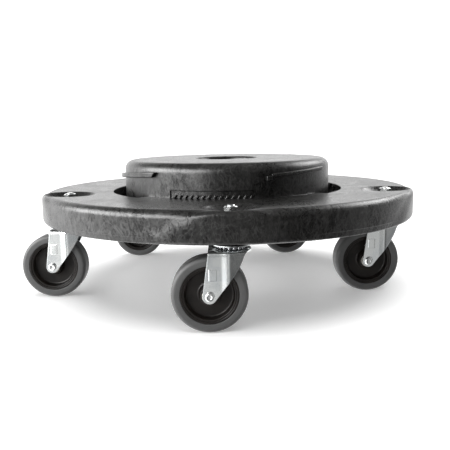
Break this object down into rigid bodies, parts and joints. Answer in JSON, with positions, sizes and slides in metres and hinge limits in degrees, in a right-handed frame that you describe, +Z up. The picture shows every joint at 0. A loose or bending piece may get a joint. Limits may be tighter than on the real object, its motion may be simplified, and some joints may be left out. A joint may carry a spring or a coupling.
{
  "type": "twist-lock container dolly",
  "caption": "Round moulded dolly with a raised twist-lock drum, side windows and swivel casters bolted through dished seats near its rim.",
  "frame": {"origin": "on the floor, under the axis of the drum", "axes": "+Z up; -Y is the side with the single front caster; the wheels trail towards -X at rest"},
  "size_m": [0.4812, 0.4616, 0.1608],
  "materials": {
    "moulded_foam": "swirled structural foam, low gloss",
    "zinc_steel": "bright zinc plate",
    "fork_steel": "bright zinc plate on pressed sheet",
    "ball_steel": "polished",
    "wheel_plastic": "satin",
    "tread_rubber": "matt grey",
    "bush_nylon": "natural"
  },
  "bodies": {
    "dolly_base": {"platform": "moulded_foam", "king_bolts": "zinc_steel", "hex_nuts": "zinc_steel", "nut_washers": "zinc_steel", "thrust_washers": "zinc_steel", "race_cups": "zinc_steel"},
    "caster_1": {"fork_1": "fork_steel", "swivel_balls_1": "ball_steel", "axle_1": "zinc_steel", "axle_sleeve_1": "zinc_steel", "side_washers_1": "wheel_plastic"},
    "wheel_1": {"wheel_core_1": "wheel_plastic", "tyre_1": "tread_rubber", "wheel_bush_1": "bush_nylon"},
    "caster_2": {"fork_2": "fork_steel", "swivel_balls_2": "ball_steel", "axle_2": "zinc_steel", "axle_sleeve_2": "zinc_steel", "side_washers_2": "wheel_plastic"},
    "wheel_2": {"wheel_core_2": "wheel_plastic", "tyre_2": "tread_rubber", "wheel_bush_2": "bush_nylon"},
    "caster_3": {"fork_3": "fork_steel", "swivel_balls_3": "ball_steel", "axle_3": "zinc_steel", "axle_sleeve_3": "zinc_steel", "side_washers_3": "wheel_plastic"},
    "wheel_3": {"wheel_core_3": "wheel_plastic", "tyre_3": "tread_rubber", "wheel_bush_3": "bush_nylon"},
    "caster_4": {"fork_4": "fork_steel", "swivel_balls_4": "ball_steel", "axle_4": "zinc_steel", "axle_sleeve_4": "zinc_steel", "side_washers_4": "wheel_plastic"},
    "wheel_4": {"wheel_core_4": "wheel_plastic", "tyre_4": "tread_rubber", "wheel_bush_4": "bush_nylon"},
    "caster_5": {"fork_5": "fork_steel", "swivel_balls_5": "ball_steel", "axle_5": "zinc_steel", "axle_sleeve_5": "zinc_steel", "side_washers_5": "wheel_plastic"},
    "wheel_5": {"wheel_core_5": "wheel_plastic", "tyre_5": "tread_rubber", "wheel_bush_5": "bush_nylon"}
  },
  "joints": [
    {"name": "swivel_1", "type": "hinge", "parent": "dolly_base", "child": "caster_1", "pos_m": [0, -0.1988, 0.083], "axis": [0, 0, 1], "continuous": true},
    {"name": "wheel_spin_1", "type": "hinge", "parent": "caster_1", "child": "wheel_1", "pos_m": [-0.0222, -0.1988, 0.0381], "axis": [0, 1, 0], "continuous": true},
    {"name": "swivel_2", "type": "hinge", "parent": "dolly_base", "child": "caster_2", "pos_m": [0.18907, -0.06143, 0.083], "axis": [0, 0, 1], "continuous": true},
    {"name": "wheel_spin_2", "type": "hinge", "parent": "caster_2", "child": "wheel_2", "pos_m": [0.16687, -0.06143, 0.0381], "axis": [0, 1, 0], "continuous": true},
    {"name": "swivel_3", "type": "hinge", "parent": "dolly_base", "child": "caster_3", "pos_m": [0.11685, 0.16083, 0.083], "axis": [0, 0, 1], "continuous": true},
    {"name": "wheel_spin_3", "type": "hinge", "parent": "caster_3", "child": "wheel_3", "pos_m": [0.09465, 0.16083, 0.0381], "axis": [0, 1, 0], "continuous": true},
    {"name": "swivel_4", "type": "hinge", "parent": "dolly_base", "child": "caster_4", "pos_m": [-0.11685, 0.16083, 0.083], "axis": [0, 0, 1], "continuous": true},
    {"name": "wheel_spin_4", "type": "hinge", "parent": "caster_4", "child": "wheel_4", "pos_m": [-0.13905, 0.16083, 0.0381], "axis": [0, 1, 0], "continuous": true},
    {"name": "swivel_5", "type": "hinge", "parent": "dolly_base", "child": "caster_5", "pos_m": [-0.18907, -0.06143, 0.083], "axis": [0, 0, 1], "continuous": true},
    {"name": "wheel_spin_5", "type": "hinge", "parent": "caster_5", "child": "wheel_5", "pos_m": [-0.21127, -0.06143, 0.0381], "axis": [0, 1, 0], "continuous": true}
  ]
}
